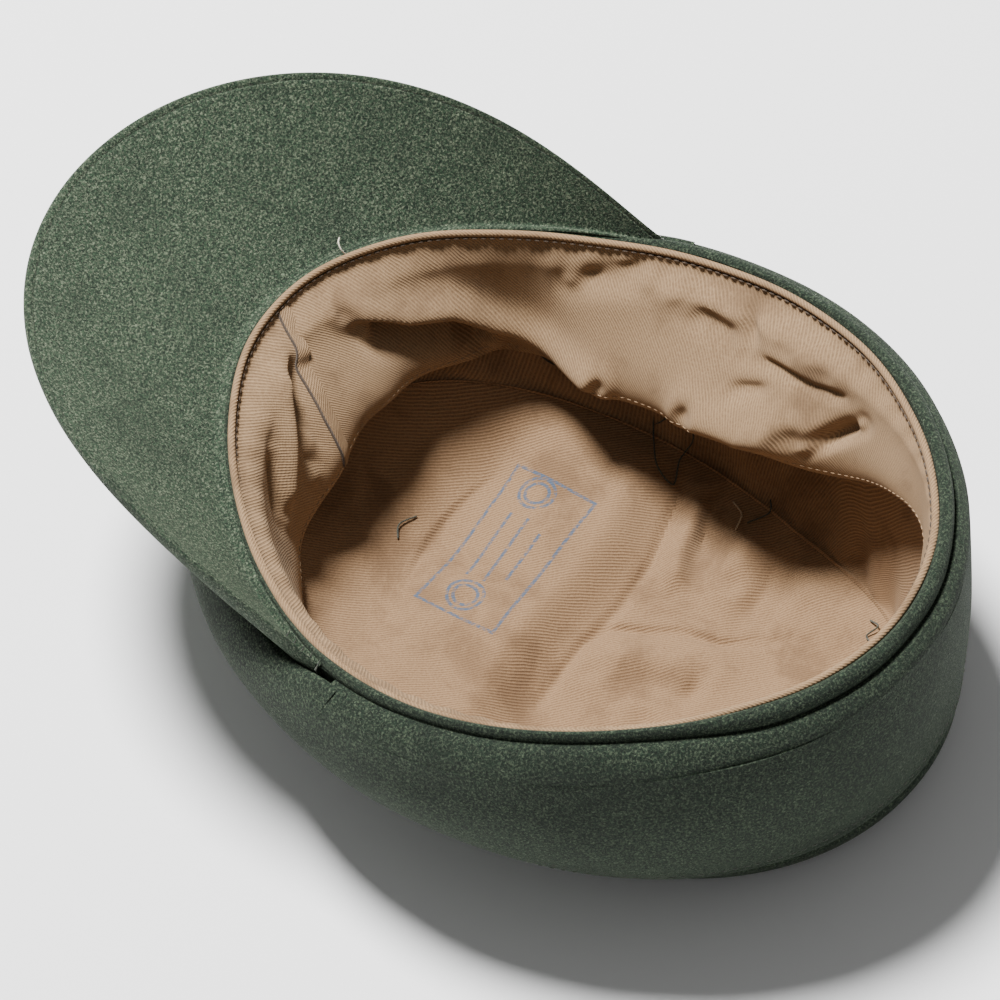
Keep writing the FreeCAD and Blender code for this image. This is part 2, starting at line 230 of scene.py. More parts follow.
def sweep_part(sections):
    """A closed bar through a row of closed sections, with a face on each end."""
    rows, columns = sections.shape[:2]
    places = cloth_places(sections)
    faces = grid_faces(rows, columns, wrap=True)
    faces.append(list(range(columns)))
    faces.append([(rows - 1) * columns + v for v in reversed(range(columns))])
    return sections.reshape(-1, 3), faces, places.reshape(-1, 2)


def tube_part(path, radius, sides=6, taper=0.25):
    """A thread along a path, rounded at both ends."""
    path = np.array(path, float)
    rows = len(path)
    ahead = np.gradient(path, axis=0)
    ahead /= np.linalg.norm(ahead, axis=1)[:, None] + 1e-9
    helper = np.array([0.31, 0.17, 0.93])
    side = np.cross(ahead, helper)
    side /= np.linalg.norm(side, axis=1)[:, None] + 1e-9
    up = np.cross(side, ahead)
    width = np.full(rows, float(radius))
    width[0] = width[-1] = radius * taper
    turn = np.linspace(0, 2 * math.pi, sides, endpoint=False)
    ring = np.cos(turn)[None, :, None] * side[:, None] + np.sin(turn)[None, :, None] * up[:, None]
    return sweep_part(path[:, None] + ring * width[:, None, None])


def add_object(name, data):
    thing = bpy.data.objects.new(name, data)
    bpy.context.scene.collection.objects.link(thing)
    return thing


def piece(name, parts, material, body, *stands_for, crease=38.0):
    """One object from closed parts in mm, riding on a body, in place of CAD nodes."""
    verts, faces, places, start = [], [], [], 0
    for part_verts, part_faces, part_uv in parts:
        verts.append(part_verts)
        faces += [[v + start for v in face] for face in part_faces]
        places.append(part_uv)
        start += len(part_verts)
    verts = np.concatenate(verts) * MM
    places = np.concatenate(places)
    mesh = bpy.data.meshes.new(name)
    mesh.from_pydata(verts.tolist(), [], faces)
    layer = mesh.uv_layers.new(name="cloth")
    loop_verts = np.zeros(len(mesh.loops), int)
    mesh.loops.foreach_get("vertex_index", loop_verts)
    layer.data.foreach_set("uv", places[loop_verts].astype(np.float32).ravel())
    solid = bmesh.new()
    solid.from_mesh(mesh)
    bmesh.ops.recalc_face_normals(solid, faces=solid.faces)
    solid.to_mesh(mesh)
    solid.free()
    mesh.shade_smooth()
    mesh.set_sharp_from_angle(angle=math.radians(crease))
    mesh.materials.append(material)
    thing = add_object(name, mesh)
    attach(thing, body)
    if stands_for:
        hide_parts(*stands_for)
    return thing


def surface_normal(grid):
    along = np.gradient(grid, axis=0)
    across = np.gradient(grid, axis=1)
    normal = np.cross(along, across)
    return normal / (np.linalg.norm(normal, axis=2)[..., None] + 1e-9)


def stitch_row(path, facing, gap, length, radius, sink=0.35):
    """Separate stitches along a path of points, each a short bowed thread."""
    path = np.array(path, float)
    steps = np.linalg.norm(np.diff(path, axis=0), axis=1)
    along = np.concatenate([[0], np.cumsum(steps)])
    facing = np.broadcast_to(np.array(facing, float), path.shape)

    def at(distance, table):
        return np.stack([np.interp(distance, along, table[:, k]) for k in range(3)], -1)

    parts = []
    for start in np.arange(gap / 2, along[-1] - length, gap + length):
        distance = start + length * np.linspace(0, 1, 5)
        bow = (np.sin(np.linspace(0, math.pi, 5)) - sink) * radius
        parts.append(tube_part(at(distance, path) + at(distance, facing) * bow[:, None], radius, 5))
    return parts


# ---- shader helpers
def srgb(red, green, blue):
    def linear(c):
        c = c / 255
        return c / 12.92 if c < 0.04045 else ((c + 0.055) / 1.055) ** 2.4

    return (linear(red), linear(green), linear(blue), 1.0)


def plug(tree, source, target):
    if hasattr(source, "links") or hasattr(source, "default_value"):
        tree.links.new(source, target)
    else:
        target.default_value = source


def node(tree, kind, **values):
    """A new node; each value sets a property, sets an input or links an input."""
    made = tree.nodes.new("ShaderNode" + kind)
    for key, value in values.items():
        if hasattr(made, key):
            setattr(made, key, value)
        else:
            plug(tree, value, made.inputs[key.replace("_", " ")])
    return made


def maths(tree, operation, a, b=0.0, c=0.0):
    made = node(tree, "Math", operation=operation)
    for socket, value in zip(made.inputs, (a, b, c)):
        plug(tree, value, socket)
    return made.outputs[0]


def vectors(tree, operation, *values):
    made = node(tree, "VectorMath", operation=operation)
    for socket, value in zip(made.inputs, values):
        plug(tree, value, socket)
    return made.outputs[0]


def blend_colour(tree, factor, first, second):
    made = node(tree, "Mix", data_type="RGBA")
    for index, value in ((0, factor), (6, first), (7, second)):
        plug(tree, value, made.inputs[index])
    return made.outputs[2]


def noise(tree, place, scale, detail=3.0, rough=0.5, distortion=0.0):
    return node(tree, "TexNoise", Vector=place, Scale=scale, Detail=detail, Roughness=rough,
                Distortion=distortion).outputs[0]


def between(tree, value, low, high):
    made = node(tree, "MapRange", interpolation_type="SMOOTHSTEP")
    for socket, value in zip(made.inputs, (value, low, high)):
        plug(tree, value, socket)
    return made.outputs[0]


def new_group(name, inputs, outputs):
    group = bpy.data.node_groups.new(name, "ShaderNodeTree")
    for title, kind, value in inputs:
        socket = group.interface.new_socket(title, in_out="INPUT", socket_type="NodeSocket" + kind)
        if value is not None:
            socket.default_value = value
    for title, kind in outputs:
        group.interface.new_socket(title, in_out="OUTPUT", socket_type="NodeSocket" + kind)
    return group, group.nodes.new("NodeGroupInput"), group.nodes.new("NodeGroupOutput")


def give(tree, out, **values):
    """Link what a group gives out."""
    for title, value in values.items():
        tree.links.new(value, out.inputs[title.replace("_", " ")])


def use_group(tree, group, **values):
    made = tree.nodes.new("ShaderNodeGroup")
    made.node_tree = group
    for title, value in values.items():
        plug(tree, value, made.inputs[title])
    return made


def fibre_group():
    """Felted fibres: fine streaks that run every way, with lighter and darker flecks."""
    tree, given, out = new_group(
        "felted_fibres",
        [("Vector", "Vector", None), ("Fibre", "Float", 900.0), ("Fleck", "Float", 350.0)],
        [("Shade", "Float"), ("Light Fleck", "Float"), ("Height", "Float")],
    )
    place, fibre, fleck_scale = given.outputs[:3]
    warp = node(tree, "TexNoise", Vector=place, Scale=fleck_scale, Detail=2.0).outputs["Color"]
    bent = vectors(tree, "MULTIPLY_ADD", warp, (0.0012, 0.0012, 0.0012), place)
    streaks = []
    for stretch in ((1.0, 0.45, 0.7), (0.45, 1.0, 0.7), (0.7, 0.5, 1.0)):
        scaled = vectors(tree, "MULTIPLY", bent, stretch)
        streaks.append(noise(tree, scaled, fibre, 3.0, 0.6))
    shade = maths(tree, "MAXIMUM", maths(tree, "MAXIMUM", streaks[0], streaks[1]), streaks[2])
    fleck = noise(tree, bent, fleck_scale, 4.0, 0.7)
    give(tree, out, Shade=between(tree, shade, 0.48, 0.74),
         Light_Fleck=between(tree, fleck, 0.46, 0.72),
         Height=maths(tree, "MULTIPLY_ADD", fleck, 0.6, shade))
    return tree


def wear_group():
    """Slow patches of soiling and fading over a whole piece."""
    tree, given, out = new_group(
        "soiling",
        [("Vector", "Vector", None), ("Patch", "Float", 30.0)],
        [("Soil", "Float"), ("Fade", "Float")],
    )
    place, patch_scale = given.outputs[:2]
    for title, shift, low, high in (("Soil", 0.0, 0.48, 0.68), ("Fade", 3.7, 0.45, 0.7)):
        moved = vectors(tree, "ADD", place, (shift, shift, 0.0))
        patch = noise(tree, moved, patch_scale, 5.0, 0.62, 0.4)
        give(tree, out, **{title: between(tree, patch, low, high)})
    return tree


def twill_group():
    """Diagonal twill ribs over fine cross threads. Places are in mm along the cloth."""
    tree, given, out = new_group(
        "twill_ribs",
        [("Place", "Vector", None), ("Rib", "Float", TWILL_RIB), ("Slope", "Float", 1.0)],
        [("Rib Mask", "Float"), ("Height", "Float"), ("Slub", "Float")],
    )
    place, rib, slope = given.outputs[:3]
    x, y, _ = node(tree, "SeparateXYZ", Vector=place).outputs
    diagonal = maths(tree, "MULTIPLY_ADD", y, slope, x)
    diagonal = maths(tree, "MULTIPLY_ADD", noise(tree, place, 0.12, 2.0), 1.3, diagonal)
    phase = maths(tree, "DIVIDE", diagonal, rib)
    ribs = maths(tree, "SINE", maths(tree, "MULTIPLY", phase, 2 * math.pi * 0.7071))
    picks = maths(tree, "SINE", maths(tree, "MULTIPLY", x, 2 * math.pi / CROSS_THREAD))
    slub = noise(tree, place, 1.6, 3.0, 0.7)
    mask = between(tree, ribs, -0.6, 0.9)
    height = maths(tree, "MULTIPLY_ADD", picks, 0.12, mask)
    height = maths(tree, "MULTIPLY_ADD", slub, 0.5, height)
    give(tree, out, Rib_Mask=mask, Height=height, Slub=between(tree, slub, 0.35, 0.7))
    return tree


FIBRES = fibre_group()
SOILING = wear_group()
TWILL = twill_group()


def new_material(name, roughness, sheen=0.0, sheen_tint=(1, 1, 1, 1), specular=0.25):
    made = bpy.data.materials.new(name)
    made.use_nodes = True
    tree = made.node_tree
    shader = tree.nodes["Principled BSDF"]
    settings = (("Roughness", roughness), ("Sheen Weight", sheen), ("Sheen Roughness", 0.6),
                ("Sheen Tint", sheen_tint), ("Specular IOR Level", specular))
    for title, value in settings:
        shader.inputs[title].default_value = value
    return made, tree, node(tree, "TexCoord").outputs["Object"]


def finish_material(made, colour, height, strength, depth):
    """Give the material its colour, and a bump of a strength and a depth in m."""
    tree = made.node_tree
    shader = tree.nodes["Principled BSDF"]
    tree.links.new(colour, shader.inputs["Base Color"])
    bump = node(tree, "Bump", Strength=strength, Distance=depth, Height=height)
    tree.links.new(bump.outputs[0], shader.inputs["Normal"])
    return made


def wool_material(name, dark, base, light):
    made, tree, where = new_material(name, 0.95, 0.1, srgb(170, 185, 160))
    fibres = use_group(tree, FIBRES, Vector=where, Fibre=2300.0, Fleck=1500.0)
    wear = use_group(tree, SOILING, Vector=where, Patch=40.0)
    colour = blend_colour(tree, fibres.outputs["Shade"], dark, base)
    flecks = maths(tree, "MULTIPLY", fibres.outputs["Light Fleck"], 0.5)
    colour = blend_colour(tree, flecks, colour, light)
    soil = maths(tree, "MULTIPLY", wear.outputs["Soil"], 0.3)
    colour = blend_colour(tree, soil, colour, dark)
    return finish_material(made, colour, fibres.outputs["Height"], 0.8, 0.0010)


def twill_material(name, dark, base, light, ink=False):
    made, tree, where = new_material(name, 0.88, 0.12, srgb(220, 205, 180))
    place = node(tree, "UVMap", uv_map="cloth").outputs[0]
    ribs = use_group(tree, TWILL, Place=place, Rib=TWILL_RIB, Slope=1.0)
    wear = use_group(tree, SOILING, Vector=where, Patch=45.0)
    shade = maths(tree, "MULTIPLY_ADD", ribs.outputs["Rib Mask"], 0.55, 0.45)
    colour = blend_colour(tree, shade, dark, base)
    slubs = maths(tree, "MULTIPLY", ribs.outputs["Slub"], 0.4)
    colour = blend_colour(tree, slubs, colour, light)
    soil = maths(tree, "MULTIPLY", wear.outputs["Soil"], 0.45)
    colour = blend_colour(tree, soil, colour, dark)
    if ink:
        colour = inked(tree, place, colour)
    return finish_material(made, colour, ribs.outputs["Height"], 0.5, 0.0003)


# The faded stamp on the crown lining, in mm on the cloth.
INK_MIDDLE = (-6.0, -33.5)
INK_SIZE = (54.0, 27.0)
INK_RULES = ((-6.0, 12.0), (0.0, 12.0), (6.0, 9.0))   # ruled lines: place and half length
INK_RINGS = ((13.0, -35.0), (-27.0, -36.5))           # plain rings: across and along
INK_RING_RADII = (5.4, 3.6)
INK_LINE = 0.5


def inked(tree, place, colour):
    """A faded inspection frame: a plain ruled box with two rings."""
    across, along, _ = node(tree, "SeparateXYZ", Vector=place).outputs

    def apart(a, b):
        return maths(tree, "ABSOLUTE", maths(tree, "SUBTRACT", a, b))

    x = apart(across, INK_MIDDLE[0])
    y = maths(tree, "SUBTRACT", along, INK_MIDDLE[1])
    past_x = maths(tree, "SUBTRACT", x, INK_SIZE[0] / 2)
    past_y = maths(tree, "SUBTRACT", maths(tree, "ABSOLUTE", y), INK_SIZE[1] / 2)
    edge = maths(tree, "ABSOLUTE", maths(tree, "MAXIMUM", past_x, past_y))
    lines = maths(tree, "LESS_THAN", edge, INK_LINE)
    for level, half in INK_RULES:
        near = maths(tree, "LESS_THAN", apart(y, level), INK_LINE)
        rule = maths(tree, "MULTIPLY", near, maths(tree, "LESS_THAN", x, half))
        lines = maths(tree, "MAXIMUM", lines, rule)
    for middle in INK_RINGS:
        away = vectors(tree, "SUBTRACT", place, (*middle, 0.0))
        away = node(tree, "VectorMath", operation="LENGTH", Vector=away).outputs["Value"]
        for radius in INK_RING_RADII:
            ring = maths(tree, "LESS_THAN", apart(away, radius), INK_LINE)
            lines = maths(tree, "MAXIMUM", lines, ring)
    patchy = between(tree, noise(tree, place, 0.55, 5.0, 0.75), 0.36, 0.56)
    strength = maths(tree, "MULTIPLY", maths(tree, "MULTIPLY", lines, patchy), 0.9)
    return blend_colour(tree, strength, colour, srgb(62, 80, 100))


def thread_material(name, dark, light):
    made, tree, where = new_material(name, 0.8, 0.2)
    twist = noise(tree, where, 4000.0, 2.0, 0.55)
    colour = blend_colour(tree, between(tree, twist, 0.4, 0.62), dark, light)
    return finish_material(made, colour, twist, 0.4, 0.0002)


def paint_material():
    """Matt paint over pressed metal, worn pale on the high grains."""
    made, tree, where = new_material("button_paint", 0.5, specular=0.5)
    grain = noise(tree, where, 900.0, 3.0, 0.55)
    fade = use_group(tree, SOILING, Vector=where, Patch=160.0).outputs["Fade"]
    mottle = between(tree, grain, 0.4, 0.62)
    colour = blend_colour(tree, mottle, srgb(66, 74, 60), srgb(98, 106, 88))
    colour = blend_colour(tree, maths(tree, "MULTIPLY", fade, 0.5), colour, srgb(128, 128, 116))
    rough = maths(tree, "MULTIPLY_ADD", fade, -0.15, 0.55)
    tree.links.new(rough, tree.nodes["Principled BSDF"].inputs["Roughness"])
    return finish_material(made, colour, grain, 0.6, 0.0006)


def board_material():
    made, tree, where = new_material("peak_board", 0.85)
    chips = noise(tree, where, 700.0, 5.0, 0.7)
    mottle = between(tree, chips, 0.35, 0.7)
    colour = blend_colour(tree, mottle, srgb(120, 98, 70), srgb(164, 142, 108))
    return finish_material(made, colour, chips, 0.4, 0.0004)


LINING_COLOURS = (srgb(80, 57, 37), srgb(136, 106, 77), srgb(160, 131, 98))
BAND_COLOURS = (srgb(82, 60, 40), srgb(143, 115, 85), srgb(168, 141, 108))
# One wool cloth in two copies: the first has darker colours as painted shade on the walls, crown,
# rim and flap; the second, for the peak, has lighter colours as painted light
shade_darkened_wool = wool_material("field_wool_darkened_for_shade", srgb(9, 16, 12), srgb(33, 50, 36), srgb(114, 128, 102))
peak_wool = wool_material("peak_wool", srgb(14, 25, 18), srgb(55, 77, 56), srgb(156, 166, 138))
lining_twill = twill_material("lining_twill", *LINING_COLOURS)
crown_twill = twill_material("crown_lining_twill", *LINING_COLOURS, ink=True)
band_twill = twill_material("sweatband_twill", *BAND_COLOURS)
dark_thread = thread_material("dark_thread", srgb(30, 32, 26), srgb(70, 74, 60))
pale_thread = thread_material("pale_thread", srgb(188, 180, 156), srgb(232, 226, 206))
seam_thread = thread_material("seam_thread", srgb(44, 33, 23), srgb(84, 66, 48))
band_thread = thread_material("band_thread", srgb(118, 92, 66), srgb(158, 130, 98))
tan_thread = thread_material("tan_thread", srgb(120, 98, 72), srgb(196, 176, 146))
button_paint = paint_material()
board = board_material()


# ---- outside of the cap
RIGHT = np.linspace(0, 180, 181)
LEFT = np.linspace(360, 180, 181)
ROUND = np.linspace(-180, 180, 541)


def wall_spot(turn, share, offset):
    """The wall at shares of its height: the hull, less the flap that hangs over it."""
    height = WOOL + share * (rim_height(turn) - WOOL)
    covered = ease((height - flap_edge(turn) + 8) / 8)
    low = hull_point(turn, height, covered * (FLAP_CLOTH + 0.6) - offset)
    high = rim_point(turn, offset, 0.0)
    high[..., 2] = height
    top = ease((share - 0.72) / 0.24)[..., None]
    return low * (1 - top) + high * top


def build_walls():
    for side, turns in (("right", RIGHT), ("left", LEFT)):
        turn, share = np.meshgrid(turns, np.linspace(0, 1, 40), indexing="ij")
        front = wall_spot(turn, share, 0.0)
        back = wall_spot(turn, share, -WOOL)
        piece("wall_" + side, [sheet_part(front, back)], shade_darkened_wool, "cap", "side_panel_" + side)


def build_crown():
    """The crown's wool, rounded over at its edge, where the wall is sewn on."""
    rings = [(40.0, 0.0), (12.0, 0.0), (5.0, 0.1), (2.4, 0.7), (0.7, 2.0), (0.0, 3.6),
             (1.2, 5.2), (3.2, 5.0), (4.0, 3.4), (12.0, WOOL), (40.0, WOOL)]
    turn = np.linspace(0, 360, 181)
    edge = hull_point(turn, WOOL, 0.0)
    middle = points(HULL_LOW[2], HULL_LOW[3], 0.0)
    grid = np.zeros((len(turn), len(rings) + 2, 3))
    for k, (depth, height) in enumerate([(None, 0.0)] + rings + [(None, WOOL)]):
        if depth is None:
            grid[:, k] = middle + (edge - middle) * 0.002
        else:
            toward = (middle - edge) / np.linalg.norm(middle - edge, axis=1)[:, None]
            grid[:, k] = edge + toward * depth
        grid[:, k, 2] = height
    piece("crown_wool", [sweep_part(grid)], shade_darkened_wool, "cap", "crown_panel")


def near_side(turn):
    """1 on the side where the fold of the flap lies close against the rim."""
    return ease((68 - from_front(turn, 86)) / 30)


def rim_roll(turns, seed):
    """The wool's edge, turned over and rolled, soft and a little uneven."""
    section = [(-2.9, -1.0), (-2.95, 0.8), (-2.6, 2.2), (-1.7, 2.9), (-0.5, 2.9), (0.6, 2.2),
               (1.2, 1.0), (1.4, -0.6), (1.2, -2.6), (0.7, -4.4), (-0.2, -5.4), (-1.4, -5.0)]
    bare = ease((from_front(turns) - PEAK_CORNER + 12) / 16)   # 0 where the peak is sewn on
    slim = 1 - 0.42 * near_side(turns)
    grid = []
    for offset, rise in section:
        swell = ripple(turns, rise, seed, 0.35)
        out = offset + max(0.0, offset + 2.0) / 3 * swell
        out = np.where(offset > -2, -2 + (out + 2) * bare * slim, out)
        up = (rise + swell * 0.5) if rise < 0 else (rise + swell * 0.5) * (0.25 + 0.75 * bare)
        grid.append(rim_point(turns, out, up))
    return sweep_part(np.stack(grid, axis=1))


def build_rim():
    for side, turns in (("right", RIGHT), ("left", LEFT)):
        piece("rim_edge_" + side, [rim_roll(turns, 1.0)], shade_darkened_wool, "cap", "rim_hem_" + side)


def root_fold(turns):
    """The flap's cloth where it turns over below the rim and starts to hang."""
    base = flap_top(turns)
    rows = [(0.15, -0.1), (0.0, 1.2), (0.3, 2.8), (1.1, 4.3), (2.4, 5.1), (3.7, 4.7),
            (4.7, 3.2), (5.2, 1.2), (4.8, -0.3)]
    tight = near_side(turns)
    grid = []
    for depth, rise in rows:
        lift = np.maximum(rise, 0) * (1 + 0.38 * tight)
        reach = depth + ripple(turns, rise, 2.0, 0.2)
        reach = reach + (0.4 + 0.6 * tight) * (3.0 * (depth > 3) + 0.8 * (depth > 1))
        grid.append(hull_point(turns, base + np.where(rise > 0, lift, rise), reach))
    return sweep_part(np.stack(grid, axis=1))


def build_root_fold():
    for side, start, end in (("right", TEMPLE, 180), ("left", 360 - TEMPLE, 180)):
        start += 1.6 if start > end else -1.6
        turns = np.linspace(start, end, 101)
        piece("flap_fold_" + side, [root_fold(turns)], shade_darkened_wool, "cap", "flap_root_fold_" + side)


def flap_strip(turns, inset=0.0):
    """A length of the doubled flap: outer face, rounded free edge, inner face."""
    top = flap_top(turns) - inset
    edge = flap_edge(turns) + inset
    radius = FLAP_CLOTH / 2 - inset
    rows = []

    def add_row(height, depth):
        rows.append(hull_point(turns, height, depth + ripple(turns, height, 0.4, 0.35)))

    round_over = 1.6 * (np.max(from_front(turns)) < TEMPLE + 1)
    for share in np.linspace(0, 1, 26):
        height = top + (edge + radius - top) * share
        pinch = 0.45 * np.exp(-((height - edge - STITCH_RISE) / 1.0) ** 2)
        add_row(height, inset + (pinch + round_over * ease(1 - share / 0.09) ** 2))
    for bend in np.radians([30, 60, 90, 120, 150]):
        add_row(edge + radius - radius * np.sin(bend), inset + radius - radius * np.cos(bend))
    for share in np.linspace(1, 0, 10):
        add_row(top + (edge + radius - top) * share, FLAP_CLOTH - inset)
    return sweep_part(np.stack(rows, axis=1))


def flap_turns(side):
    """Where the flap is divided on one side, from the centre back to the centre front."""
    back = [180 - i * (180 - TEMPLE) / STAVES for i in range(STAVES + 1)]
    front = [TEMPLE - (i + 1) * (TEMPLE - FRONT_HALF_ANGLE) / FRONTS for i in range(FRONTS)]
    turns = back + front + [0.0]
    return [turn if side == "right" else 360 - turn for turn in turns]


def edge_stitches(turns):
    height = flap_edge(turns) + STITCH_RISE
    path = hull_point(turns, height, 0.35 + ripple(turns, height, 0.4, 0.35))
    return stitch_row(path, -inward(turns), 1.0, 2.2, 0.28)


def build_flap():
    for side in ("right", "left"):
        turns = flap_turns(side)
        names = ["flap_%s_%d" % (side, i + 1) for i in range(STAVES)]
        names += ["flap_front_%s_%d" % (side, i + 1) for i in range(FRONTS + 1)]
        for name, start, end in zip(names, turns, turns[1:]):
            count = max(6, int(abs(end - start) * 1.2))
            here = np.linspace(start, end, count)
            parts = [flap_strip(here)]
            if end:
                beyond = end + np.linspace(0, TUCK, 6) * np.sign(end - start)
                parts.append(flap_strip(beyond, TUCK_INSET))
            piece(name + "_cloth", parts, shade_darkened_wool, name, name)
            piece(name + "_stitches", edge_stitches(here), dark_thread, name)


# ---- peak
def peak_reach(share):
    return PEAK_END + (PEAK_REACH - PEAK_END) * (1 - np.abs(share) ** 1.96) ** 1.13


def peak_point(share, distance, lift):
    """share -1..1 along the rim, distance out from it, lift up from the lower face."""
    turn = PEAK_CORNER * share
    a = np.radians(turn)
    foot = rim_point(turn, 0.0, -1.0)
    square = points(np.sin(a) / WALL_WIDTH, -np.cos(a) / WALL_LENGTH, 0.0)
    square /= np.linalg.norm(square, axis=-1)[..., None]
    ahead = square * (1 - PEAK_FORWARD) + np.array([0.0, -PEAK_FORWARD, 0.0])
    ahead /= np.linalg.norm(ahead, axis=-1)[..., None]
    tilt = np.radians(PEAK_TILT + PEAK_SIDE_TILT * share ** 2)
    slope = ahead * np.cos(tilt)[..., None]
    slope[..., 2] += np.sin(tilt)
    upright = (lift - PEAK_THICK) / np.cos(np.minimum(tilt, 1.0))
    spot = foot + slope * np.asarray(distance)[..., None]
    spot[..., 2] += upright
    return spot


def peak_cover(lift, thickness, seed):
    """One wool face of the peak, dished a little, with a groove where the hem is sewn."""
    share, step = np.meshgrid(np.linspace(-1, 1, 161), np.linspace(0, 1, 70), indexing="ij")
    reach = peak_reach(share)
    start = -2.6 if thickness > 0 else 0.0
    distance = start + step * (reach - 0.6 - start)
    groove = np.exp(-(((reach - distance) - HEM_WIDTH) / 0.55) ** 2)
    uneven = 0.25 * np.sin(share * 7 + seed) * np.sin(distance * 0.09 + seed)
    edge = ease((reach - distance) / 2.2)
    outer = lift + (2.2 * ease(1 - (distance + 2.6) / 4.5) if thickness > 0 else 0.0)
    sign = 1 if thickness > 0 else -1
    face = outer + sign * (-0.55 * groove - (1 - edge) * 1.2) + uneven
    front = peak_point(share, distance, face)
    back = peak_point(share, distance, face - sign * 1.2)
    return sheet_part(front, back) if sign > 0 else sheet_part(back, front)


def peak_edge():
    """The rolled hem round the free edge of the peak."""
    share = np.linspace(-1, 1, 241)
    reach = peak_reach(share)
    rows = []
    half = PEAK_THICK / 2
    for bend in np.radians(np.linspace(-160, 160, 15)):
        lift = half + (half + 0.1) * np.sin(bend)
        rows.append(peak_point(share, reach - half + half * np.cos(bend), lift))
    return sweep_part(np.stack(rows, axis=1))


def build_peak():
    under, top = peak_cover(PEAK_THICK, 1, 0.7), peak_cover(0.0, -1, 1.9)
    piece("peak_under_face", [under], peak_wool, "cap", "peak_under_cover")
    piece("peak_top_face", [top], peak_wool, "cap", "peak_top_cover")
    piece("peak_rolled_edge", [peak_edge()], peak_wool, "cap", "peak_hem")
    share, step = np.meshgrid(np.linspace(-0.97, 0.97, 81), np.linspace(0, 1, 12), indexing="ij")
    distance = step * (peak_reach(share) - HEM_WIDTH)
    low, high = [peak_point(share, distance, lift) for lift in (1.7, 2.9)]
    piece("peak_stiffener", [sheet_part(high, low)], board, "cap", "peak_board")
    share = np.linspace(-0.97, 0.97, 300)
    path = peak_point(share, peak_reach(share) - HEM_WIDTH, np.full(300, PEAK_THICK - 0.45))
    stitches = stitch_row(path, (0, 0.3, 0.95), 1.1, 1.9, 0.22)
    piece("peak_stitches", stitches, dark_thread, "cap")


# ---- buttoned front
def along_table(table, columns, count):
    """Columns of a table, read at even steps from its first row to its last."""
    steps = np.linspace(0, len(table) - 1, count)
    return [np.interp(steps, range(len(table)), [row[k] for row in table]) for k in columns]


def build_button_front():
    low, high = corners_mm("flap_button_tab")
    middle = (low[2] + high[2]) / 2
    half = (high[2] - low[2]) / 2 - 1.0
    across = np.linspace(low[0], high[0], 40)
    rows = []
    tip = np.clip((across - (high[0] - 7.0)) / 7.0, 0, 1)
    reach = half * np.sqrt(np.maximum(1 - tip ** 2 * 0.75, 0.05))
    turn = np.degrees(np.arcsin(np.clip(across / FLAP_HALF_WIDTH, -1, 1)))
    for depth, bulge, start in ((-0.2, 0.0, -1), (-2.4, 0.5, 1)):
        for share in np.linspace(start, -start, 15):
            height = middle + share * reach
            rows.append(hull_point(turn, height, depth - bulge * (1 - share ** 2)))
    tab = sweep_part(np.stack(rows, axis=1)[:, ::-1])
    piece("front_tab", [tab], shade_darkened_wool, "flap_front_left_4", "flap_button_tab")
    for label in ("lower", "upper"):
        low, high = corners_mm("button_" + label)
        spot = (low + high) / 2
        face = hull_point(np.degrees(np.arcsin(spot[0] / FLAP_HALF_WIDTH)), spot[2], -3.8)
        spot[1] = face[1]
        build_button("button_dome_" + label, "button_" + label, spot)
        thread = spot + (0, 2.5, 0)
        shanks = []
        for dx in (-0.6, 0.0, 0.6):
            path = [thread + (dx, -3.0, 0), thread + (dx, 0, 0.1), thread + (dx, 4.0, 0)]
            shanks.append(tube_part(path, 0.5))
        piece("button_shank_" + label, shanks, dark_thread, "flap_front_right_4",
              "button_thread_" + label)


def build_button(name, stands_for, spot):
    """A pressed metal button: rolled edge, domed face with raised grains."""
    profile = [(0.0, 1.3), (3.2, 1.25), (4.6, 0.9), (5.2, 0.4), (5.6, 0.75), (6.0, 0.2),
               (5.8, -0.9), (4.2, -1.4), (0.0, -1.5)]
    turn = np.radians(np.linspace(0, 360, 49))
    radius, height = along_table(profile, (0, 1), 60)
    lean = math.radians(9)
    a, r = np.meshgrid(turn, np.maximum(radius, 0.02), indexing="ij")
    grains = 0.14 * np.sin(r * 5.2) * np.sin(a * 9 + r * 3) * (r < 4.6)
    h = height[None, :] + grains * (height[None, :] > 0.8)
    x = r * np.cos(a) * BUTTON_RADIUS / 6.0
    z = r * np.sin(a) * BUTTON_RADIUS / 6.0
    y = -h
    grid = points(spot[0] + x, spot[1] + y * math.cos(lean) - z * math.sin(lean),
                  spot[2] + z * math.cos(lean) + y * math.sin(lean))
    piece(name, [sweep_part(grid)], button_paint, "flap_front_right_4", stands_for, crease=60.0)


# ---- inside of the cap
def away_from_line(x, y, line):
    best = np.full(x.shape, 1e9)
    for (x0, y0), (x1, y1) in zip(line, line[1:]):
        dx, dy = x1 - x0, y1 - y0
        along = np.clip(((x - x0) * dx + (y - y0) * dy) / (dx * dx + dy * dy), 0, 1)
        best = np.minimum(best, np.hypot(x - x0 - along * dx, y - y0 - along * dy))
    return best


def fold_shape(x, y, line, width, reach):
    """1 on a line, falling off to its sides and towards both ends."""
    ends = [np.hypot(x - end[0], y - end[1]) for end in (line[0], line[-1])]
    taper = 0.12 + 0.88 * ease(np.minimum(*ends) / reach)
    return np.exp(-(away_from_line(x, y, line) / width) ** 2) * taper


# The sweatband hangs loose. Round the cap from the front: degrees, how far its free
# edge stands in from the rim, and how far it hangs below the rim.
BAND_HANG = [(-180, 3, 22), (-160, 2, 14), (-148, 3, 15), (-140, 7, 21), (-131, 12, 30),
             (-124, 17, 36), (-116, 24, 35), (-106, 30, 31), (-95, 31, 31), (-80, 30, 32),
             (-65, 25, 35), (-52, 8, 43), (-40, 14, 40), (-28, 22, 35), (-15, 29, 30), (0, 30, 29),
             (15, 24, 32), (30, 10, 42), (45, 7, 44), (90, 6, 44), (150, 6, 44), (180, 3, 22)]
BAND_DEPTH = 38.0
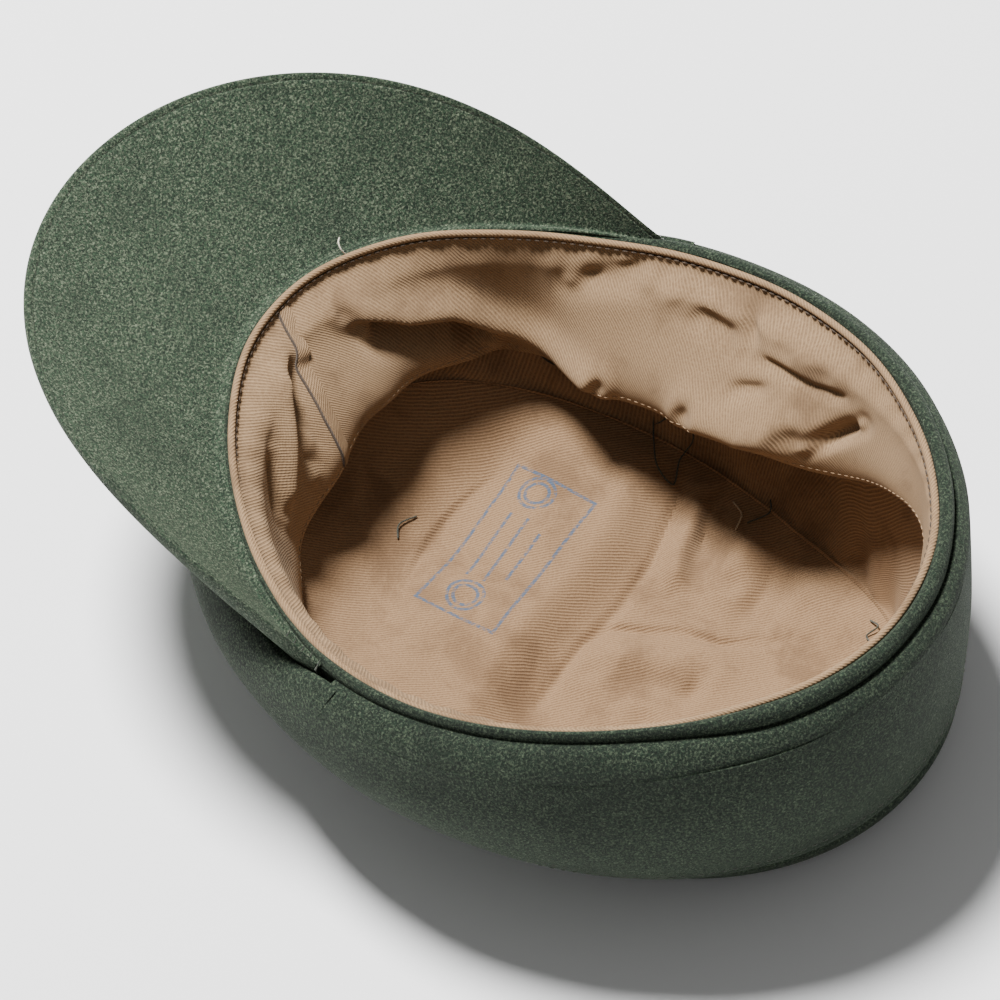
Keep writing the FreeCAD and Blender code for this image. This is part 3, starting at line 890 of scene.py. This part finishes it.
# Folds in the band: a line of degrees round the cap and shares of its depth, half width
# in mm, and how far it stands into the cap.
BAND_FOLDS = [
    ([(-14, 0.2), (-27, 0.4), (-37, 0.46), (-45, 0.62), (-58, 0.8), (-68, 0.88)], 3.4, 6.0),
    ([(-17, 0.45), (-27, 0.64), (-37, 0.72), (-45, 0.9)], 3.4, -7.0),
    ([(4, 0.12), (15, 0.32), (24, 0.45), (31, 0.6)], 2.4, 3.6),
    ([(-1, 0.24), (8, 0.42), (13, 0.58)], 3.0, -3.6),
    ([(14, 0.62), (20, 0.76)], 3.4, -4.0),
    ([(22, 0.28), (34, 0.5)], 2.2, -2.8),
    ([(-93, 0.05), (-99, 0.36)], 1.7, -3.0),
    ([(-99, 0.38), (-113, 0.38), (-121, 0.3)], 1.4, -2.4),
    ([(-104, 0.2), (-114, 0.25)], 4.0, 1.6),
    ([(-90, 0.86), (-105, 0.9), (-115, 0.72)], 5.0, 4.5),
    ([(-118, 0.78), (-125, 0.42)], 2.4, -6.0),
    ([(-96, 0.65), (-107, 0.52)], 1.9, -2.4),
    ([(-60, 0.26), (-75, 0.12)], 2.8, -4.5),
    ([(-83, 0.25), (-96, 0.36)], 2.4, -2.8),
]


def from_table(table, turn, column, shifts):
    """A column of a table of places round the cap, with soft changes between its rows."""
    places = [row[0] for row in table]
    values = [row[column] for row in table]
    total = 0
    for shift in shifts:
        total = total + np.interp((turn + shift + 180) % 360 - 180, places, values)
    return total / len(shifts)


def band_point(turn, depth):
    """The sweatband's face; depth 0 at the welt and 1 at its free edge."""
    turn, depth = np.broadcast_arrays(np.asarray(turn, float), np.asarray(depth, float))
    swing, drop = [from_table(BAND_HANG, turn, k, (-4, -2, 0, 2, 4)) for k in (1, 2)]
    stand = swing * (0.25 * ease(depth * 5) + 0.75 * ease(depth * 1.05) ** 1.1)
    near = ease((65 - from_front(turn, 60)) / 30)
    stand = stand + near * 3.2 * ease(depth * 9)
    round_mm = ((turn + 180) % 360 - 180) * math.pi / 180 * WALL_WIDTH
    for line, width, amount in BAND_FOLDS:
        line = [(math.radians(place) * WALL_WIDTH, share * BAND_DEPTH) for place, share in line]
        fold = fold_shape(round_mm, depth * BAND_DEPTH, line, width * 1.25, 7.0)
        stand = stand + amount * fold * ease(depth * 8)
    crimp = 0.55 * np.sin(np.radians(turn) * 61) * np.exp(-(depth / 0.13) ** 2) * ease(depth * 12)
    stand = stand + crimp + 0.5 * np.sin(np.radians(turn) * 14 + depth * 5) * depth
    fall = drop * depth + 1.2 * np.sin(np.radians(turn) * 4 + 1.0) * depth ** 2
    spot = rim_point(turn, LINING_EDGE, 0.5) + inward(turn) * np.maximum(stand, 0.0)[..., None]
    spot[..., 2] -= fall
    return spot


def band_places(turns, depths):
    length = np.radians(turns) * (WALL_WIDTH + WALL_LENGTH) / 2
    u, v = np.meshgrid(length, depths * 44.0, indexing="ij")
    return np.stack([u, v], -1)


# Where the ends of the sweatband are joined: degrees and share of its depth.
BAND_JOIN = [(-4.0, 0.02), (-1.0, 0.2), (3.0, 0.42), (7.0, 0.62), (10.0, 0.8), (12.0, 0.97)]


def build_band_join():
    turns, depths = along_table(BAND_JOIN, (0, 1), 60)
    path = band_point(turns, depths)
    ahead = band_point(turns + 1.0, depths)
    down = band_point(turns, depths + 0.02)
    facing = np.cross(ahead - path, down - path)
    facing /= np.linalg.norm(facing, axis=1)[:, None]
    facing *= np.sign(np.sum(facing * inward(turns), axis=1))[:, None]
    lip = [path + facing * 0.05, path + facing * 0.6]
    side = (ahead - path) / np.linalg.norm(ahead - path, axis=1)[:, None]
    section = [lip[0], lip[1] - side * 0.1, lip[1] - side * 1.5, lip[0] - side * 4.0]
    lap = sweep_part(np.stack(section, axis=1))
    piece("sweatband_join", [lap], band_twill, "cap", crease=60.0)
    thread = tube_part(path + facing * 0.25 + side * 0.25, 0.36, 6)
    piece("sweatband_join_thread", [thread], seam_thread, "cap")


def build_sweatband():
    turns = np.linspace(-178.5, 181.5, 901)
    depths = np.linspace(0, 1, 46) ** 0.9
    turn, depth = np.meshgrid(turns, depths, indexing="ij")
    face = band_point(turn, depth)
    normal = surface_normal(face)
    back = face + normal * 0.9 * (1 if np.dot(normal[450, 20], inward(turns[450])) < 0 else -1)
    cloth = sheet_part(face, back, band_places(turns, depths))
    band = piece("sweatband_twill", [cloth], band_twill, "cap", "sweatband")
    edge = band_point(turns, np.full(len(turns), 0.955))
    toward = inward(turns) * 0.6 + np.array([0, 0, 0.5])
    stitches = stitch_row(edge + toward * 0.1, toward, 0.8, 1.6, 0.16)
    piece("sweatband_edge_stitches", stitches, band_thread, "cap")
    return band


def welt_path(turns, offset, rise):
    wobble = ripple(turns, 0.0, 3.3, 0.3)
    return rim_point(turns, offset + wobble, rise + wobble * 0.5 - 1.9 * near_side(turns))


def build_welt():
    """The corded twill edge that binds the lining and the sweatband to the rim."""
    turns = ROUND
    radius = 1.1
    ring = np.radians(np.linspace(0, 360, 13)[:-1])
    middle = welt_path(turns, -4.0, 1.6)
    out = -inward(turns)
    rows = []
    for bend in ring:
        rows.append(middle + out * (radius * math.cos(bend)) + np.array([0, 0, math.sin(bend)]))
    grid = np.stack(rows, axis=1)
    piece("sweatband_cord", [sweep_part(grid)], band_twill, "cap", "sweatband_welt")
    line = welt_path(turns, -5.25, 0.6)
    stitches = stitch_row(line, inward(turns) * 0.6 + np.array([0, 0, 0.8]), 0.7, 1.9, 0.24)
    piece("sweatband_stitches", stitches, seam_thread, "cap")


# Folds in the crown lining: a line of points across and along, half width, and height.
CROWN_FOLDS = [
    ([(-62, -6), (-50, -3), (-27, 2.5), (-10, 3), (7, 1), (35, 1)], 1.5, -1.6),
    ([(7, 1), (-2, 4), (-7, 14), (-12, 22), (-14, 34), (-26, 51)], 1.5, -1.9),
    ([(14, 8), (4, 14), (0, 24), (-4, 36)], 5.0, 2.4),
    ([(-64, 0), (-50, 4), (-34, 8), (-20, 14)], 3.2, 3.2),
    ([(-62, 6), (-50, 10), (-36, 15)], 2.8, -4.2),
    ([(-62, 18), (-48, 23), (-32, 27)], 4.5, 2.8),
    ([(-52, 34), (-38, 38), (-23, 39)], 4.0, -3.4),
    ([(-50, 48), (-34, 50)], 5.0, 2.4),
    ([(-6, 35), (2, 37), (12, 36)], 2.6, -2.2),
    ([(20, 30), (10, 50), (-10, 66)], 7.0, 2.6),
    ([(-30, -60), (-8, -52), (12, -40)], 9.0, -2.2),
]
# The front half of the crown lining is pushed up and falls off to a crease, given as
# places across the cap and how far back the crease lies there.
CREASE_ACROSS = (-70.0, -50.0, -27.0, -10.0, 7.0, 35.0, 60.0)
CREASE_BACK = (-7.0, -3.0, 2.5, 3.0, 1.0, 1.4, 6.0)
CREASE_HEIGHT = 8.0
CREASE_SLOPE = 17.0


def floor_height(x, y):
    """The loose crown lining where it lies on the crown, with its folds."""
    x, y = np.broadcast_arrays(np.asarray(x, float), np.asarray(y, float))
    height = np.full(x.shape, WOOL + 3.4)
    for line, width, amount in CROWN_FOLDS:
        height = height + amount * fold_shape(x, y, line, width * 1.1, 9.0)
    ahead = np.interp(x, CREASE_ACROSS, CREASE_BACK) - y
    height = height + CREASE_HEIGHT * ease(ahead / CREASE_SLOPE) * ease((75 - ahead) / 40)
    height = height + 0.5 * np.sin(x * 0.16 + y * 0.05) + 0.4 * np.sin(y * 0.21 - x * 0.07)
    return np.maximum(height, WOOL + 1.2)


def wool_below(x, y):
    """Height of the wool's inner face under a place inside the cap."""
    heights = np.array([WOOL, 5, 8, 11, 15, 20, 26, 33, 41, 50], float)
    turns = np.array([0.0, 90.0, 180.0, 270.0])
    level = np.full(np.shape(x), WOOL)
    outside = []
    for height in heights:
        depth = WOOL + FLAP_CLOTH * float(height > 30) + 0.8
        front, right, back, left = hull_point(turns, height, depth)
        wide, long = (right[0] - left[0]) / 2, (back[1] - front[1]) / 2
        across, along = (right[0] + left[0]) / 2, (back[1] + front[1]) / 2
        outside.append(np.hypot((x - across) / wide, (y - along) / long) - 1)
    for low, high, here, there in zip(heights, heights[1:], outside, outside[1:]):
        share = np.clip(here / np.maximum(here - there, 1e-6), 0, 1)
        level = np.where(here > 0, low + (high - low) * share, level)
    return level


def lie_on_wool(spots, gap):
    """Lift places that would sink into the wool, easing over near it."""
    under = wool_below(spots[..., 0], spots[..., 1]) + gap
    over = spots[..., 2] - under
    lifted = spots.copy()
    lifted[..., 2] = under + np.where(over > 2, over, np.maximum(0, (over + 2)) ** 2 / 8)
    return lifted


# The seam between the crown lining and the side lining: degrees round the cap, height,
# and how far it stands in from the wall's lining.
SEAM_PLACES = [(-180, 24, 5), (-160, 20, 9), (-135, 12, 12), (-108, 10, 16), (-87, 10, 13),
               (-68, 11, 5), (-50, 18, 1), (-30, 30, 1), (0, 38, 1), (30, 34, 2), (60, 22, 3),
               (90, 14, 4), (120, 14, 5), (150, 18, 4), (180, 24, 5)]


def crown_seam(turn):
    height, stand = [from_table(SEAM_PLACES, turn, k, (-10, -5, 0, 5, 10)) for k in (1, 2)]
    return lie_on_wool(hull_point(turn, height, stand + WOOL + 5.0), 1.6)


def crown_lining_point(turn, share):
    """The crown lining: flat in the middle, rising to its seam up the sides."""
    seam = crown_seam(turn)
    x = HULL_LOW[2] + (seam[..., 0] - HULL_LOW[2]) * share
    y = CROWN_MIDDLE + (seam[..., 1] - CROWN_MIDDLE) * share
    floor = floor_height(x, y)
    climb = np.clip((share - 0.55) / 0.45, 0, 1) ** 1.9
    return lie_on_wool(points(x, y, floor * (1 - climb) + seam[..., 2] * climb), 1.4)


def build_crown_lining():
    turns = np.linspace(0, 360, 361)
    shares = np.linspace(0.002, 1, 170)
    turn, share = np.meshgrid(turns, shares, indexing="ij")
    top = crown_lining_point(turn, share)
    places = top[..., :2]
    low = top.copy()
    low[..., 2] -= 0.6
    cloth = sheet_part(top, low, places)
    return piece("crown_lining_twill", [cloth], crown_twill, "cap", "crown_lining")


def side_lining_face(turns, shares):
    turn, share = np.meshgrid(turns, shares, indexing="ij")
    seam = crown_seam(turn)
    foot = (seam[..., 2] - WOOL + 1.0) / (rim_height(turn) - WOOL)
    wall = wall_spot(turn, 1 - share * (1 - foot), -WOOL - 0.5)
    lean = 0.9 * ease((48 - from_front(turn, -150)) / 25)
    join = (ease((share - 0.5) / 0.5) ** 1.5 * (1 - lean) + share * lean)[..., None]
    face = wall * (1 - join) + seam * join
    sag = 2.0 * np.sin(np.pi * np.clip((share - 0.2) / 0.8, 0, 1)) ** 2
    pleat = 0.9 * np.sin(np.radians(turn) * 23 + share * 4)
    pleat = pleat * ease(share * 2 - 0.7) * ease((1 - share) * 5)
    face = face + inward(turn) * (sag + pleat)[..., None]
    face[..., 2] += 0.8 * np.exp(-((share - 0.96) / 0.03) ** 2)
    low = ease((share - 0.4) / 0.2)[..., None]
    return face * (1 - low) + lie_on_wool(face, 1.4) * low


def build_side_lining():
    made = []
    for side, start, end in (("right", 0, 180), ("left", 360, 180)):
        turns = np.linspace(start, end, 181)
        face = side_lining_face(turns, np.linspace(0, 1, 50))
        normal = surface_normal(face)
        sign = 1 if np.dot(normal[90, 15], inward(turns[90])) < 0 else -1
        cloth = sheet_part(face, face + normal * 0.5 * sign)
        name = "lining_side_twill_" + side
        made.append(piece(name, [cloth], lining_twill, "cap", "lining_side_" + side))
    return made


# ---- small things
def tack_stitches():
    parts = []
    for corner in (-1, 1):
        for step in np.linspace(0.90, 1.0, 5):
            turn = np.array(corner * PEAK_CORNER * step)
            low, high = rim_point(turn, 1.4, -2.5), rim_point(turn, -0.4, 3.2)
            middle = (low + high) / 2 - inward(turn) * 1.2
            parts.append(tube_part([low, middle, high], 0.35))
    piece("corner_tacks", parts, dark_thread, "cap")


def loose_threads(linings):
    """Long thread ends left on the lining, laid on whatever is under them."""
    def laid(spots):
        path = []
        for x, y, lift in smooth_path(spots):
            top = -1.0
            above = Vector((x * MM, y * MM, 0.1))
            for lining in linings:
                hit, place, _, _ = lining.ray_cast(above, Vector((0, 0, -1)))
                top = max(top, place.z / MM) if hit else top
            path.append((x, y, top + 0.3 + lift))
        return path

    dark = [[(-65, -20, 0), (-69, -12, 1.2), (-66, -7, 2.0), (-60, -8, 1.0), (-53, -6, 0.6),
             (-54, -12, 1.4), (-60, -17, 1.0), (-66, -21, 0.4)],
            [(-62, -62, 0.2), (-60, -57, 0.4), (-61, -50, 0.2), (-66, -40, 0.5),
             (-69, -46, 0.8), (-67, -52, 0.3)],
            [(-62, 22, 0.3), (-58, 24, 1.0), (-52, 20, 0.4)],
            [(-40, 69, 0.3), (-38, 73, 1.5), (-35, 71, 0.5), (-33, 74, 0.4)],
            [(8, -62, 0.3), (4, -64, 0.8), (-2, -62, 0.2)]]
    tan = [[(-57, 12, 0.3), (-54, 17, 0.8), (-49, 18, 0.2)]]
    piece("loose_dark_threads", [tube_part(laid(p), 0.25) for p in dark], dark_thread, "cap")
    piece("loose_tan_threads", [tube_part(laid(p), 0.28) for p in tan], tan_thread, "cap")
    start = rim_point(-21.0, -3.0, 2.0)
    steps = ((0, 0, 0), (0.5, -1.0, 2.0), (-0.5, -2.5, 3.2), (-2.5, -3.6, 2.8))
    hair = smooth_path([start + step for step in steps])
    piece("pale_thread_end", [tube_part(hair, 0.22)], pale_thread, "cap")


def smooth_path(spots, count=40):
    """A smooth curve through a few points."""
    spots = np.array(spots, float)
    padded = np.concatenate([[2 * spots[0] - spots[1]], spots, [2 * spots[-1] - spots[-2]]])
    path = []
    for t in np.linspace(0, len(spots) - 1.0001, count):
        i, f = int(t), t - int(t)
        a, b, c, d = padded[i:i + 4]
        square, cube = 2 * a - 5 * b + 4 * c - d, 3 * b - a - 3 * c + d
        path.append(0.5 * (2 * b + (c - a) * f + square * f ** 2 + cube * f ** 3))
    return path


# ---- studio
CAMERA_AZIMUTH = 129.38
CAMERA_ELEVATION = 53.40
CAMERA_ROLL = -6.92
CAMERA_DISTANCE = 1.3119
CAMERA_TARGET = Vector((-0.0004, -0.0289, 0.048))
CAMERA_LENS = 166.5


def build_camera():
    a, e, r = [math.radians(v) for v in (CAMERA_AZIMUTH, CAMERA_ELEVATION, CAMERA_ROLL)]
    back = Vector((math.sin(a) * math.cos(e), -math.cos(a) * math.cos(e), math.sin(e)))
    right = Vector((math.cos(a), math.sin(a), 0))
    up = back.cross(right)
    turned_right = right * math.cos(r) + up * math.sin(r)
    turned_up = up * math.cos(r) - right * math.sin(r)
    view = bpy.data.cameras.new("camera")
    view.lens = CAMERA_LENS
    view.sensor_width = 36.0
    eye = add_object("camera", view)
    turn = Matrix((turned_right, turned_up, back)).transposed().to_4x4()
    eye.matrix_world = Matrix.Translation(CAMERA_TARGET + back * CAMERA_DISTANCE) @ turn
    bpy.context.scene.camera = eye


def area_light(name, direction, distance, size, power):
    light = bpy.data.lights.new(name, "AREA")
    light.shape = "DISK"
    light.size = size
    light.energy = power
    thing = add_object(name, light)
    toward = Vector(direction).normalized()
    thing.location = toward * distance
    thing.rotation_euler = toward.to_track_quat("Z", "Y").to_euler()


def build_studio():
    mesh = bpy.data.meshes.new("floor")
    size = 3.0
    corners = [(-size, -size, 0), (size, -size, 0), (size, size, 0), (-size, size, 0)]
    mesh.from_pydata(corners, [], [(0, 1, 2, 3)])
    floor = add_object("floor", mesh)
    pale = bpy.data.materials.new("pale_floor")
    pale.use_nodes = True
    shader = pale.node_tree.nodes["Principled BSDF"]
    shader.inputs["Base Color"].default_value = (0.92, 0.92, 0.92, 1)
    shader.inputs["Roughness"].default_value = 0.9
    mesh.materials.append(pale)
    world = bpy.data.worlds.new("studio")
    world.use_nodes = True
    world.node_tree.nodes["Background"].inputs["Color"].default_value = (1, 1, 1, 1)
    world.node_tree.nodes["Background"].inputs["Strength"].default_value = 0.24
    bpy.context.scene.world = world
    area_light("key", (-0.14, -0.36, 0.925), 2.4, 0.65, 190)


build_walls()
build_crown()
build_rim()
build_root_fold()
build_flap()
build_peak()
build_button_front()
linings = [build_crown_lining()] + build_side_lining()
band = build_sweatband()
build_band_join()
build_welt()
tack_stitches()
loose_threads(linings)
build_camera()
build_studio()
